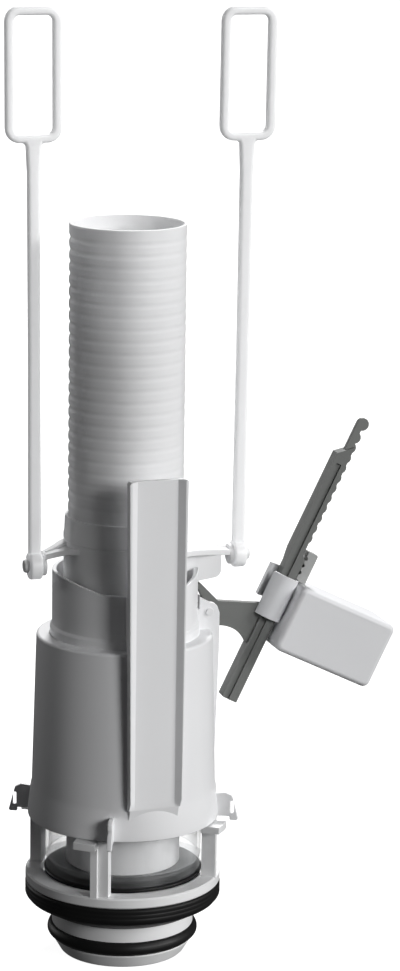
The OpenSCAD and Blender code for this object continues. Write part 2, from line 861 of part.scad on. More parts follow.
module lever_form() {
    half = bar_d / 2;
    bar_right = bar_left + bar_w;
    cheek = bar_left - cheek_shift;
    difference() {
        union() {
            rotate([90, 0, 0])
                cylinder(r = lever_hub_r, h = lever_hub_w, center = true);
            slab(web_t)
                lever_web();
            slab(finger_t)
                polygon([[nose_v, nose_u], [nose_v + nose_t, nose_u + nose_t], [web_in, web_top_in],
                         [web_in, 0], [-axle_r, axle_r], [nose_v + nose_t / 2, nose_u - nose_t]]);
            slab(bar_d)
                polygon([[bar_left, -bar_below + edge], [bar_left + 2 * edge, -bar_below],
                         [bar_right, -bar_below], [bar_right, rack_from - 2 * cheek_slope],
                         [cheek + cheek_w, rack_from - cheek_slope],
                         [cheek + cheek_w, bar_above + cheek_rise], [cheek, bar_above],
                         [cheek, rack_from - cheek_slope], [bar_left, rack_from - 3 * cheek_slope]]);
        }
        rotate([90, 0, 0])
            cylinder(r = axle_r + turn_gap, h = 2 * lever_hub_w, center = true);
        for (y = [-1, 1])
            translate([bar_left + groove_v, y * half - groove_t, -bar_below - cut])
                cube([groove_w, 2 * groove_t, bar_below + cut + bar_above - groove_end]);
        translate([rack_tip - tooth_depth - rack_back, -rack_t / 2 - seat_gap, rack_from])
            cube([rack_back + 2 * tooth_depth, rack_t + 2 * seat_gap, bar_above]);
    }
}

// Web from the hub to the bar, hollowed underneath by an arc
module lever_web() {
    difference() {
        polygon([[0, lever_hub_r], [web_in, web_top_in], [bar_left + bury, web_top_out],
                 [bar_left + bury, web_low], [web_in, web_low], [0, -lever_hub_r]]);
        translate([web_arc_v, web_low - web_arc_r + web_arc_rise])
            circle(web_arc_r);
    }
}

// Toothed strip in the bar's slot, which the float's latch clicks along
module adjuster_rack() {
    left = rack_tip - tooth_depth - rack_back + seat_gap;
    root = rack_tip - tooth_depth;
    low = rack_from + seat_gap;
    high = bar_above + rack_beyond;
    bulb_z = high - bulb_r;
    tooth_z = low + tooth_lead;
    tooth_n = floor((bulb_z - bulb_r - tooth_z) / tooth_pitch);
    color([0.45, 0.46, 0.45])
        on_lever()
            slab(rack_t) {
                translate([left, low])
                    square([root - left, bulb_z - low]);
                translate([left + bulb_r, bulb_z])
                    circle(bulb_r);
                intersection() {
                    for (i = [0 : tooth_n - 1])
                        translate([rack_tip - tooth_r, tooth_z + (i + 1 / 2) * tooth_pitch])
                            circle(tooth_r);
                    translate([root - edge, low])
                        square([tooth_depth + 2 * edge, bulb_z - low]);
                }
            }
}

// Hollow float, open at the back for its lid
module float_shell() {
    mid_x = float_left + float_len / 2;
    mid_z = float_low + float_h / 2;
    color("white")
        on_lever()
            translate([mid_x, 0, mid_z])
                difference() {
                    slab(float_d)
                        round_rect(float_len, float_h, float_round);
                    translate([0, float_wall, 0])
                        slab(float_d)
                            round_rect(float_len - 2 * float_wall, float_h - 2 * float_wall,
                                       float_round - float_wall / 2);
                }
}

// Lid set into the back of the float
module float_lid() {
    mid_x = float_left + float_len / 2;
    mid_z = float_low + float_h / 2;
    inset = 2 * (float_wall + seat_gap);
    color("whitesmoke")
        on_lever()
            translate([mid_x, float_d / 2 - float_wall / 2, mid_z])
                slab(float_wall)
                    round_rect(float_len - inset, float_h - inset, float_round - float_wall / 2);
}

// Clip beside the float: a half-round sleeve over the front of the bar, a plate along the float
// and a hooked finger behind the bar
module float_clip() {
    outer = clip_in + clip_wall;
    wall_x = float_left - seat_gap;
    finger_x = clip_mid - outer - edge;
    back = bar_d / 2 + run_gap;
    color("white")
        on_lever() {
            intersection() {
                translate([0, 0, clip_low])
                    linear_extrude(clip_top - clip_low)
                        translate([clip_mid, 0])
                            difference() {
                                circle(outer);
                                circle(clip_in);
                            }
                translate([clip_mid - outer - cut, -outer - cut, clip_low - cut])
                    cube([wall_x - clip_mid + outer + cut, outer + cut - web_room, clip_top]);
            }
            translate([plate_x, -outer / 2, clip_low])
                cube([clip_plate, outer / 2 + back + clip_wall, clip_top - clip_low]);
            translate([finger_x, back, hook_low])
                cube([wall_x - finger_x, clip_wall, finger_top - hook_low]);
            translate([finger_x, web_room, hook_low])
                cube([clip_wall, back + clip_wall - web_room, finger_top - hook_low]);
        }
}

// Latch on top of the float, notched on the side of the rack's teeth
module float_latch() {
    right = float_left + latch_w;
    low = float_top + seat_gap;
    over = clip_top + run_gap;
    high = low + latch_h;
    color([0.5, 0.51, 0.5])
        on_lever()
            difference() {
                slab(latch_d)
                    polygon([[float_left, low], [right, low], [right, high - edge], [right - edge, high],
                             [plate_x, high], [plate_x, over], [float_left, over]]);
                for (i = [1 : thumb_n])
                    translate([plate_x, 0, over + i * (high - over) / (thumb_n + 1)])
                        rotate([90, 0, 0])
                            cylinder(r = thumb_r, h = 2 * latch_d, center = true);
            }
}

outlet_basket();
base_gasket();
lip_seal();
valve_housing();
lever_axle();
overflow_tube();
lifting_yoke();
tube_lock();
air_bell();
bell_ring();
valve_plate();
flush_seal();
seal_clamp();
left_lift_rod();
right_lift_rod();
float_lever();
adjuster_rack();
float_shell();
float_lid();
float_clip();
float_latch();
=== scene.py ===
import json
import math
import bmesh
import bpy
from mathutils import Matrix, Vector


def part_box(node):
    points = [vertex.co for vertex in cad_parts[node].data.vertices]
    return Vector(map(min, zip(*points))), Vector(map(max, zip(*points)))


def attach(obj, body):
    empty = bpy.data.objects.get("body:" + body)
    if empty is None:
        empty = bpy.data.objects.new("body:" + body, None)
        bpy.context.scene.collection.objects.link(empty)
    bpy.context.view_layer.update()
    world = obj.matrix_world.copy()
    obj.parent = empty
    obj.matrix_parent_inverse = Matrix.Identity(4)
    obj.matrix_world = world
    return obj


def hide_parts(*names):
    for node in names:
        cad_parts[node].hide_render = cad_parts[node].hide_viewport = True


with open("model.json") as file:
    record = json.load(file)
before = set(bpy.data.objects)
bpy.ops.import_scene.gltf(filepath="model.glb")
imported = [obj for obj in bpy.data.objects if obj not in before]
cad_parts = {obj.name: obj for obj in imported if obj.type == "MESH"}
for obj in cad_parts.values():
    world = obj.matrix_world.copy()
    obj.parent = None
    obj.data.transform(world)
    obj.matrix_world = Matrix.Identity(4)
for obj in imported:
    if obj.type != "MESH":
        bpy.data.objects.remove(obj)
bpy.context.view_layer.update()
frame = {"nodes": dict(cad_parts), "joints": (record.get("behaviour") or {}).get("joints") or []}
nodes = frame["nodes"]
joints = {j["name"]: j for j in frame["joints"]}
mm = 0.001
level = 0.1  # mm within which a point counts as lying on a level
same = 1e-6  # metres within which two points agree
cutSnap = 1e-7  # metres within which a cut takes a point that is there
cornerLeast = 50.0  # an edge that turns by more degrees than this is a corner
smoothLeast = 40.0  # an edge that turns by more degrees than this is shaded sharp
print("frame loaded,", len(nodes), "nodes")


# a socket that can be used in sums, so 0.1 + haze adds a Math node
class Wire:
    def __init__(self, tree, socket=None):
        self.tree = tree
        self.socket = socket

    def node(self, kind, settings, sockets, out=0):
        made = self.tree.nodes.new(kind)
        for key, value in settings.items():
            if key == "stops":
                ramp = made.color_ramp
                while len(ramp.elements) < len(value):
                    ramp.elements.new(0.5)
                for stop, (place, shade) in zip(ramp.elements, value):
                    stop.position = place
                    stop.color = (shade, shade, shade, 1)
            else:
                setattr(made, key, value)
        for key, value in sockets.items():
            if isinstance(value, Wire):
                self.tree.links.new(value.socket, made.inputs[key])
            else:
                made.inputs[key].default_value = value
        return Wire(self.tree, made.outputs[out])

    def sum(self, operation, first, second):
        return self.node("ShaderNodeMath", {"operation": operation}, {0: first, 1: second})

    def __add__(self, other):
        return self.sum("ADD", self, other)

    def __radd__(self, other):
        return self.sum("ADD", other, self)

    def __sub__(self, other):
        return self.sum("SUBTRACT", self, other)

    def __mul__(self, other):
        return self.sum("MULTIPLY", self, other)

    def __rmul__(self, other):
        return self.sum("MULTIPLY", other, self)


def shaderOf(finish):
    return next(n for n in finish.node_tree.nodes if n.type == "BSDF_PRINCIPLED")


def setSockets(shader, values):
    for socket, value in values.items():
        shader.inputs[socket].default_value = value


def plainFinish(name):
    finish = bpy.data.materials.new(name)
    finish.use_nodes = True
    return finish


def newFinish(name):
    finish = plainFinish(name)
    place = Wire(finish.node_tree).node("ShaderNodeTexCoord", {}, {}, "Object")
    return finish, shaderOf(finish), place


def noise(place, scale, detail, stretch=None):
    if stretch:
        place = place.node("ShaderNodeMapping", {}, {"Vector": place, "Scale": stretch})
    return place.node("ShaderNodeTexNoise", {}, {"Vector": place, "Scale": scale, "Detail": detail}, "Fac")


# a Mix node has its two colours at sockets 6 and 7, and the mixed colour at output 2
def blendTint(factor, low, high):
    return factor.node("ShaderNodeMix", {"data_type": "RGBA"}, {0: factor, 6: (*low, 1), 7: (*high, 1)}, 2)


def feed(shader, socket, wire):
    wire.tree.links.new(wire.socket, shader.inputs[socket])


def addBump(shader, height, strength, depth):
    sockets = {"Strength": strength, "Distance": depth * mm, "Height": height}
    feed(shader, "Normal", height.node("ShaderNodeBump", {}, sockets))


# moulded polypropylene: a faint drift of tone, flow lines from the gate and a fine spark-eroded grain
def mouldedFinish(name, low, high, rough, grain, flow=0.06):
    finish, shader, place = newFinish(name)
    cloud = noise(place, scale=30.0, detail=3.0)
    streak = noise(place, scale=90.0, detail=3.0, stretch=(1.0, 1.0, 0.12))
    fine = noise(place, scale=2600.0, detail=2.0)
    speck = noise(place, scale=900.0, detail=1.0)
    tone = cloud * 0.6 + streak * 0.25 + speck * 0.15
    feed(shader, "Base Color", blendTint(tone, low, high))
    feed(shader, "Roughness", rough + flow * (streak - 0.5) + 0.08 * (cloud - 0.5) + 0.05 * (fine - 0.5))
    addBump(shader, fine * 0.7 + speck * 0.3, strength=0.35, depth=grain)
    setSockets(shader, {"IOR": 1.49, "Specular IOR Level": 0.35})
    return finish


# black rubber: dull, with a dusty bloom and the fine rings left by the mould
def rubberFinish(name, low, high, rough):
    finish, shader, place = newFinish(name)
    bloom = noise(place, scale=60.0, detail=4.0)
    fine = noise(place, scale=1800.0, detail=2.0)
    rings = place.node("ShaderNodeTexWave", {"wave_type": "BANDS", "bands_direction": "Z"},
                       {"Vector": place, "Scale": 420.0, "Distortion": 0.6, "Detail": 1.0}, "Fac")
    feed(shader, "Base Color", blendTint(bloom * 0.7 + fine * 0.3, low, high))
    feed(shader, "Roughness", rough + 0.18 * (bloom - 0.5) + 0.08 * (fine - 0.5))
    addBump(shader, fine * 0.6 + rings * 0.4, strength=0.4, depth=0.05)
    setSockets(shader, {"Specular IOR Level": 0.26})
    return finish


# clear styrene: see-through, with cloudy streaks along the flow, and cloudier at a slant
def clearFinish(name, low, high, seen, streaks, slant):
    finish, shader, place = newFinish(name)
    haze = noise(place, scale=55.0, detail=3.0)
    streak = noise(place, scale=70.0, detail=2.0, stretch=(1.0, 1.0, 0.08))
    wave = noise(place, scale=160.0, detail=2.0, stretch=(1.0, 1.0, 0.3))
    feed(shader, "Base Color", blendTint(haze, low, high))
    feed(shader, "Roughness", 0.1 + 0.14 * haze)
    veil = place.node("ShaderNodeValToRGB", {"stops": [(0.42, 0.0), (0.68, 1.0)]}, {"Fac": streak})
    glance = place.node("ShaderNodeLayerWeight", {}, {"Blend": 0.35}, "Facing")
    feed(shader, "Alpha", seen + streaks * veil + 0.1 * (haze - 0.5) + slant * glance * glance)
    addBump(shader, wave, strength=0.3, depth=0.12)
    setSockets(shader, {"IOR": 1.59, "Coat Weight": 0.6, "Coat Roughness": 0.06})
    return finish


# darker and paler tone, roughness, depth of the grain in mm, and stronger flow lines on the tube
mouldedTones = {
    "basketWhite": ((0.80, 0.805, 0.81), (0.88, 0.882, 0.885), 0.36, 0.035),
    "housingWhite": ((0.79, 0.795, 0.805), (0.87, 0.872, 0.88), 0.40, 0.04),
    "pinWhite": ((0.76, 0.765, 0.77), (0.84, 0.842, 0.845), 0.34, 0.03),
    "tubeWhite": ((0.82, 0.823, 0.83), (0.89, 0.892, 0.9), 0.42, 0.025, 0.1),
    "yokeWhite": ((0.79, 0.795, 0.8), (0.87, 0.872, 0.878), 0.37, 0.035),
    "rodWhite": ((0.84, 0.842, 0.845), (0.9, 0.902, 0.905), 0.33, 0.03),
    "floatWhite": ((0.78, 0.785, 0.8), (0.86, 0.865, 0.878), 0.42, 0.04),
    "clipWhite": ((0.72, 0.728, 0.745), (0.82, 0.825, 0.84), 0.36, 0.035),
    "leverGrey": ((0.15, 0.156, 0.15), (0.205, 0.21, 0.203), 0.46, 0.05),
    "rackGrey": ((0.165, 0.17, 0.163), (0.225, 0.23, 0.222), 0.48, 0.05),
    "latchGrey": ((0.36, 0.365, 0.36), (0.45, 0.455, 0.45), 0.44, 0.045),
}
# darker and paler tone, roughness
rubberTones = {
    "gasketBlack": ((0.005, 0.005, 0.005), (0.014, 0.014, 0.014), 0.46),
    "sealBlack": ((0.004, 0.004, 0.004), (0.011, 0.011, 0.011), 0.42),
}
# darker and paler tone, then how much shows: everywhere, in the streaks and at a slant
clearTones = {
    "clearBell": ((0.78, 0.80, 0.81), (0.9, 0.92, 0.93), 0.06, 0.16, 0.4),
    "clearPlate": ((0.78, 0.80, 0.81), (0.9, 0.92, 0.93), 0.02, 0.05, 0.2),
}
# light soaks through the thin rods and the tube's wall: share, reach in mm and a weak painted glow that
# lightens the rods' shaded sides
soakedAndPaintedGlow = {"rodWhite": (0.6, 2.5, 0.17), "tubeWhite": (0.5, 2.0, 0.0)}

finishes = {}
for maker, tones in ((mouldedFinish, mouldedTones), (rubberFinish, rubberTones), (clearFinish, clearTones)):
    for name, values in tones.items():
        finishes[name] = maker(name, *values)
for name, (share, reach, glow) in soakedAndPaintedGlow.items():
    setSockets(shaderOf(finishes[name]), {
        "Subsurface Weight": share,
        "Subsurface Radius": (1, 1, 1),
        "Subsurface Scale": reach * mm,
        # the emission is painted light: a faint even glow that makes the rods lighter than the lamps alone
        # would light them
        "Emission Color": (0.97, 0.98, 1.0, 1.0),
        "Emission Strength": glow,
    })
print("finishes made,", len(finishes))


# a finished mesh becomes a piece that stands for CAD nodes and rides on their body
def addPiece(name, bm, finish, body, stands):
    mesh = bpy.data.meshes.new(name)
    bm.to_mesh(mesh)
    bm.free()
    mesh.shade_smooth()
    mesh.set_sharp_from_angle(angle=math.radians(smoothLeast))
    piece = bpy.data.objects.new(name, mesh)
    bpy.context.scene.collection.objects.link(piece)
    mesh.materials.append(finishes[finish])
    even = piece.modifiers.new("even", "WEIGHTED_NORMAL")
    even.keep_sharp = True
    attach(piece, body)
    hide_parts(*stands)


def sharpEdges(bm, least):
    return [e for e in bm.edges if len(e.link_faces) == 2 and e.calc_face_angle(0) > math.radians(least)]


def roundEdges(bm, edges, radius, segments):
    bmesh.ops.bevel(bm, geom=edges, offset=radius * mm, offset_type="OFFSET", segments=segments,
                    profile=0.5, affect="EDGES", clamp_overlap=True, material=-1)


# every edge that turns by more than the least angle is rounded
def roundCorners(bm, radius, segments, least=cornerLeast):
    roundEdges(bm, sharpEdges(bm, least), radius, segments)


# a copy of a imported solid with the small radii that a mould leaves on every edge
mould = {"merge": 0.01, "flat": 0.5, "least": 28.0, "segments": 2}


def mouldedCopy(node, radius):
    bm = bmesh.new()
    bm.from_mesh(nodes[node].data)
    bmesh.ops.remove_doubles(bm, verts=bm.verts, dist=mould["merge"] * mm)
    bmesh.ops.dissolve_limit(bm, angle_limit=math.radians(mould["flat"]), verts=bm.verts, edges=bm.edges)
    roundCorners(bm, radius, mould["segments"], mould["least"])
    return bm


# finish, body, slot and edge radius in mm
mouldedNodes = {
    "outlet_basket": ("basketWhite", "housing", "basket_white", 0.3),
    "lever_axle": ("pinWhite", "housing", "pin_white", 0.2),
    "tube_lock": ("yokeWhite", "valve", "yoke_white", 0.2),
    "air_bell": ("clearBell", "valve", "clear_plastic", 0.3),
    "bell_ring": ("sealBlack", "valve", "seal_rubber", 0.0),
    "seal_clamp": ("basketWhite", "valve", "basket_white", 0.2),
    "float_lever": ("leverGrey", "lever", "lever_grey", 0.3),
    "adjuster_rack": ("rackGrey", "lever", "rack_grey", 0.25),
    "float_lid": ("floatWhite", "float", "float_white", 0.3),
    "float_clip": ("clipWhite", "float", "clip_white", 0.3),
    "float_latch": ("latchGrey", "float", "rack_grey", 0.3),
}
for node, (finish, body, slot, radius) in mouldedNodes.items():
    addPiece(node + "_moulded", mouldedCopy(node, radius), finish, body, [node])
print("moulded pieces made")


# a line of (radius, height) points in metres, turned round the Z axis
def turnLine(points, closed, steps):
    bm = bmesh.new()
    line = [bm.verts.new((r, 0, z)) for r, z in points]
    following = line[1:] + line[:1] if closed else line[1:]
    edges = [bm.edges.new(pair) for pair in zip(line, following)]
    bmesh.ops.spin(bm, geom=line + edges, cent=(0, 0, 0), axis=(0, 0, 1), angle=2 * math.pi, steps=steps,
                   use_merge=True)
    bmesh.ops.remove_doubles(bm, verts=bm.verts, dist=same)
    bmesh.ops.delete(bm, geom=[e for e in bm.edges if e.is_wire], context="EDGES")
    bmesh.ops.recalc_face_normals(bm, faces=bm.faces)
    return bm


# the same for a closed line in mm
def turnProfile(profile, steps):
    return turnLine([(r * mm, z * mm) for r, z in profile], True, steps)


# every face grown into a plate of even thickness, half of it on each side of the X-Z plane
def thicken(bm, thick):
    grown = bmesh.ops.extrude_face_region(bm, geom=bm.faces[:])["geom"]
    moved = [v for v in grown if isinstance(v, bmesh.types.BMVert)]
    bmesh.ops.translate(bm, vec=(0, thick * mm, 0), verts=moved)
    bmesh.ops.translate(bm, vec=(0, -thick / 2 * mm, 0), verts=bm.verts)
    bmesh.ops.recalc_face_normals(bm, faces=bm.faces)


def flatFace(bm, outline):
    bm.faces.new([bm.verts.new((x * mm, 0, z * mm)) for x, z in outline])


# a plate with rounded edges from an outline in the X-Z plane
def softPlate(outline, thick, soft, least=cornerLeast):
    bm = bmesh.new()
    flatFace(bm, outline)
    thicken(bm, thick)
    roundCorners(bm, soft, 2, least)
    return bm


def turned(degrees, axis):
    return Matrix.Rotation(math.radians(degrees), 4, axis)


def moveBy(bm, place):
    bmesh.ops.transform(bm, matrix=place, verts=bm.verts)


# another mesh moved to its place and added to this one
def joinInto(bm, other, place=Matrix()):
    moveBy(other, place)
    shape = bpy.data.meshes.new("joined")
    other.to_mesh(shape)
    other.free()
    bm.from_mesh(shape)
    bpy.data.meshes.remove(shape)


# a cube stretched between two corners in metres
def stretchedCube(low, high):
    bm = bmesh.new()
    bmesh.ops.create_cube(bm, size=1.0)
    for v in bm.verts:
        v.co = Vector([a if c < 0 else b for a, b, c in zip(low, high, v.co)])
    return bm


def softBox(low, high, soft):
    bm = stretchedCube([a * mm for a in low], [b * mm for b in high])
    roundEdges(bm, bm.edges[:], soft, 2)
    return bm


# overflow tube with soft, low ribs, a thin, stepped mouth and a foot that stands in the plate's dish
tube = {"wall": 1.6, "mouthStep": 0.4, "mouthDeep": 12.0, "lip": 0.5, "pitch": 5.0, "dip": 0.14,
        "groove": 3.4, "points": 8, "plainTop": 2.4, "overBell": 4.5, "foot": 2.4, "steps": 128,
        "teethAt": 162.5, "teethHalf": 38.0, "teeth": 2.8}


def makeTube():
    low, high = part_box("overflow_tube")
    outer, base, top = high.x / mm, low.z / mm - tube["foot"], high.z / mm
    inner = outer - tube["wall"]
    mouth = inner + tube["mouthStep"]
    mouthFloor = top - tube["mouthDeep"]
    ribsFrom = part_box("air_bell")[1].z / mm + tube["overBell"]
    count = int((top - tube["plainTop"] - ribsFrom) / tube["pitch"])
    profile = [(inner, base), (outer, base)]
    for i in range(count):
        for k in range(tube["points"] + 1):
            share = k / tube["points"]
            dip = tube["dip"] * (0.5 - 0.5 * math.cos(2 * math.pi * share))
            profile.append((outer - dip, ribsFrom + i * tube["pitch"] + share * tube["groove"]))
    profile += [(outer, top), (mouth, top), (mouth, mouthFloor), (inner, mouthFloor)]
    bm = turnProfile(profile, tube["steps"])
    for v in bm.verts:  # the grooves cut deeper on one side, as teeth for the lock
        reach = v.co.xy.length
        sunk = outer * mm - reach
        away = abs(math.degrees(math.atan2(v.co.y, v.co.x)) - tube["teethAt"])
        away = min(away, 360 - away) / tube["teethHalf"]
        if away < 1 and 0 < sunk < tube["wall"] * mm / 2:
            deeper = sunk * tube["teeth"] * (0.5 + 0.5 * math.cos(math.pi * away))
            v.co.xy *= 1 - deeper / reach
    roundCorners(bm, tube["lip"], 3)
    addPiece("overflowTube", bm, "tubeWhite", "valve", ["overflow_tube"])


makeTube()

# flush seal with a thin lip, and the clear dish over it that the tube and the bell stand on
flush = {"inner": 21.55, "lip": 1.3, "step": 1.2, "rise": 1.7, "crown": 27.0, "high": 3.0, "soft": 0.3,
         "steps": 128}
dish = {"hole": 20.2, "neck": 21.5, "socket": 22.35, "edge": 0.6, "wall": 1.5, "over": 1.9, "slope": 1.2,
        "disc": 1.15, "gap": 0.05, "soft": 0.25, "steps": 128}


def makePlate():
    low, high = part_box("flush_seal")
    outer, base = high.x / mm, low.z / mm
    sealTop = base + flush["high"]
    bm = turnProfile([(flush["inner"], base), (outer, base), (outer, base + flush["lip"]),
                      (outer - flush["step"], base + flush["rise"]), (flush["crown"], sealTop),
                      (flush["inner"], sealTop)], flush["steps"])
    roundCorners(bm, flush["soft"], 2)
    addPiece("flushSeal", bm, "sealBlack", "valve", ["flush_seal"])
    low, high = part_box("valve_plate")
    foot, top = low.z / mm, high.z / mm
    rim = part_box("air_bell")[0].z / mm - dish["gap"]
    under = sealTop + dish["gap"]
    disc = under + dish["disc"]
    edge = outer - dish["edge"]
    wall = edge - dish["wall"]
    skirt = base + dish["over"]
    bm = turnProfile([(dish["hole"], foot), (dish["neck"], foot), (dish["neck"], under),
                      (wall - dish["slope"], under), (wall, skirt), (edge, skirt), (edge, rim), (wall, rim),
                      (wall, disc), (dish["socket"], disc), (dish["socket"], top), (dish["hole"], top)],
                     dish["steps"])
    roundCorners(bm, dish["soft"], 2)
    addPiece("valvePlate", bm, "clearPlate", "valve", ["valve_plate"])


makePlate()

# lift rod: a bar that swells into a rounded loop above and into an eye on the yoke's pin below
rod = {"width": 5.2, "deep": 3.8, "waist": 0.2, "flare": 0.5, "flareLow": 1.5, "flareHigh": 12.0,
       "long": 228.6, "loopWide": 23.4, "loopHigh": 54.5, "bar": 3.6, "corner": 6.0, "cornerSteps": 7,
       "eye": 5.75, "hole": 2.25, "intoEye": 0.65, "eyeSteps": 48, "soft": 1.25, "eyeSoft": 0.9}


def makeRod(name, node, body, lean):
    bm = bmesh.new()
    top, bottom, across = rod["long"], rod["long"] - rod["loopHigh"], rod["loopWide"] / 2
    flatFace(bm, [(-across, bottom), (across, bottom), (across, top), (-across, top)])
    bmesh.ops.bevel(bm, geom=bm.verts[:], offset=rod["corner"] * mm, offset_type="OFFSET",
                    segments=rod["cornerSteps"], profile=0.5, affect="VERTICES", material=-1)
    rim = bmesh.ops.inset_region(bm, faces=bm.faces[:], thickness=rod["bar"] * mm, use_boundary=True,
                                 use_even_offset=True)["faces"]
    bmesh.ops.delete(bm, geom=[f for f in bm.faces if f not in rim], context="FACES_ONLY")
    lowest = min(bm.edges, key=lambda e: e.verts[0].co.z + e.verts[1].co.z)
    new = bmesh.ops.subdivide_edges(bm, edges=[lowest], cuts=2)["geom_inner"]
    pair = sorted([v for v in new if isinstance(v, bmesh.types.BMVert)], key=lambda v: v.co.x)
    half = rod["width"] / 2
    spread = half + 2 * rod["flare"]
    pair[0].co.x = -spread * mm
    pair[1].co.x = spread * mm
    edge = next(e for e in pair[0].link_edges if pair[1] in e.verts)
    stem = [(bottom - rod["flareLow"], half + rod["flare"]), (bottom - rod["flareHigh"], half),
            (bottom / 2, half - rod["waist"]), (2 * rod["eye"], half), (rod["intoEye"] * rod["eye"], half)]
    for z, reach in stem:
        grown = bmesh.ops.extrude_edge_only(bm, edges=[edge])["geom"]
        edge = next(e for e in grown if isinstance(e, bmesh.types.BMEdge))
        for v in edge.verts:
            v.co = (math.copysign(reach, v.co.x) * mm, 0, z * mm)
    thicken(bm, rod["deep"])
    roundCorners(bm, rod["soft"], 4)
    eye = turnProfile([(rod["hole"], -half), (rod["eye"], -half), (rod["eye"], half), (rod["hole"], half)],
                      rod["eyeSteps"])
    roundCorners(eye, rod["eyeSoft"], 3)
    joinInto(bm, eye, turned(90, "Y"))
    moveBy(bm, Matrix.Translation(joints[body + "_swing"]["pos_m"]) @ turned(lean, "X"))
    addPiece(name, bm, "rodWhite", body, [node])


# lifting yoke: a hub with the catch ring below, two fanned arms that rise to it, a gusset and a keel
yoke = {"hole": 24.05, "hub": 25.7, "hubSteps": 96, "hubLeast": 30.0, "catch": 28.0, "catchHigh": 3.4,
        "catchSlope": 2.0, "plate": 2.4, "rootHalf": 14.0, "rootPoints": 5, "tipHalf": 3.75,
        "sidePoints": 8, "hollow": 1.5, "boss": 4.35, "bossDeep": 1.6, "pin": 2.2, "pinSteps": 40,
        "gap": 0.3, "head": 3.1, "headDeep": 1.8, "headTaper": 0.6, "gusset": 2.0, "gussetOver": 0.8,
        "keelWide": 9.0, "keelLow": 158.9, "keelOut": 40.7, "keelRise": 1.8, "keelRound": 3.4,
        "keelStep": 15, "soft": 0.35}
# how far an arm's plate stands over its pin, at the boss and at the hub
armRise = {"left_rod": (4.0, 7.0), "right_rod": (1.2, 3.8)}
hubSeat = (yoke["hole"] + yoke["hub"]) / 2  # the plates start within the hub's wall


# distance and height in mm of a rod's pin
def pinPlace(body):
    x, _, z = joints[body + "_swing"]["pos_m"]
    return abs(x) / mm, z / mm


# where a pin's boss ends, a gap before the rod's eye
def bossFace(reach):
    return reach - rod["width"] / 2 - yoke["gap"]


def makePin(reach):
    root = bossFace(reach)
    back = root - yoke["bossDeep"]
    end = reach + rod["width"] / 2 + yoke["gap"]
    tip = end + yoke["headDeep"]
    bm = turnProfile([(0, back), (yoke["boss"], back), (yoke["boss"], root), (yoke["pin"], root),
                      (yoke["pin"], end), (yoke["head"], end), (yoke["head"] - yoke["headTaper"], tip),
                      (0, tip)], yoke["pinSteps"])
    roundCorners(bm, yoke["soft"], 2)
    moveBy(bm, turned(90, "Y"))
    return bm


def makeArm(reach, rise):
    root = bossFace(reach) - yoke["bossDeep"] / 2
    count = yoke["rootPoints"]
    span = math.asin(yoke["rootHalf"] / hubSeat) / count
    angles = [span * a for a in range(-count, count + 1)]
    inner = [(hubSeat * math.cos(a), hubSeat * math.sin(a)) for a in angles]
    start = inner[0][0]
    side = []
    for k in range(1, yoke["sidePoints"] + 1):
        share = k / yoke["sidePoints"]
        half = yoke["tipHalf"] + (yoke["rootHalf"] - yoke["tipHalf"]) * (1 - share) ** yoke["hollow"]
        side.append((start + share * (root - start), half))
    bm = softPlate(inner + side + [(x, -w) for x, w in reversed(side)], yoke["plate"], yoke["soft"])
    moveBy(bm, turned(-90, "X"))
    for v in bm.verts:
        share = min(max((v.co.x / mm - yoke["hub"]) / (root - yoke["hub"]), 0), 1)
        v.co.z += (rise[1] + (rise[0] - rise[1]) * share) * mm
    return bm


# upright web over the left arm
def makeGusset(top):
    reach, high = pinPlace("left_rod")
    tip = bossFace(reach) - yoke["bossDeep"]
    atBoss, atHub = (high + rise for rise in armRise["left_rod"])
    outline = [(-hubSeat, atHub), (-tip, atBoss), (-tip, atBoss + yoke["plate"] / 2 + yoke["gussetOver"]),
               (-yoke["hub"], top - yoke["soft"]), (-hubSeat, top - yoke["soft"])]
    return softPlate(outline, yoke["gusset"], yoke["soft"])


# thick web with a round corner under the right arm
def makeKeel():
    high = pinPlace("right_rod")[1]
    atBoss, atHub = (high + rise for rise in armRise["right_rod"])
    bend = yoke["keelRound"]
    bendX, bendZ = yoke["keelOut"] - bend, yoke["keelLow"] + yoke["keelRise"] + bend
    angles = [math.radians(a) for a in range(0, 91, yoke["keelStep"])]
    corner = [(bendX + bend * math.cos(a), bendZ - bend * math.sin(a)) for a in angles]
    outline = [(hubSeat, atHub), (yoke["keelOut"], atBoss)] + corner + [(hubSeat, yoke["keelLow"])]
    return softPlate(outline, yoke["keelWide"], yoke["soft"])


def makeYoke():
    low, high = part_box("lifting_yoke")
    base, top = low.z / mm, high.z / mm
    catchTop = base + yoke["catchHigh"]
    bm = turnProfile([(yoke["hole"], base), (yoke["catch"], base), (yoke["catch"], catchTop),
                      (yoke["hub"], catchTop + yoke["catchSlope"]), (yoke["hub"], top),
                      (yoke["hole"], top)], yoke["hubSteps"])
    roundCorners(bm, yoke["soft"], 2, yoke["hubLeast"])
    for body, rise in armRise.items():
        reach, pinHigh = pinPlace(body)
        turn = turned(180 if body == "left_rod" else 0, "Z")
        for part in (makePin(reach), makeArm(reach, rise)):
            joinInto(bm, part, Matrix.Translation((0, 0, pinHigh * mm)) @ turn)
    joinInto(bm, makeGusset(top))
    joinInto(bm, makeKeel())
    addPiece("liftingYoke", bm, "yokeWhite", "valve", ["lifting_yoke"])


makeYoke()
makeRod("leftRod", "left_lift_rod", "left_rod", lean=-1.2)
makeRod("rightRod", "right_lift_rod", "right_rod", lean=1.0)
print("tube, plate, yoke and rods made")

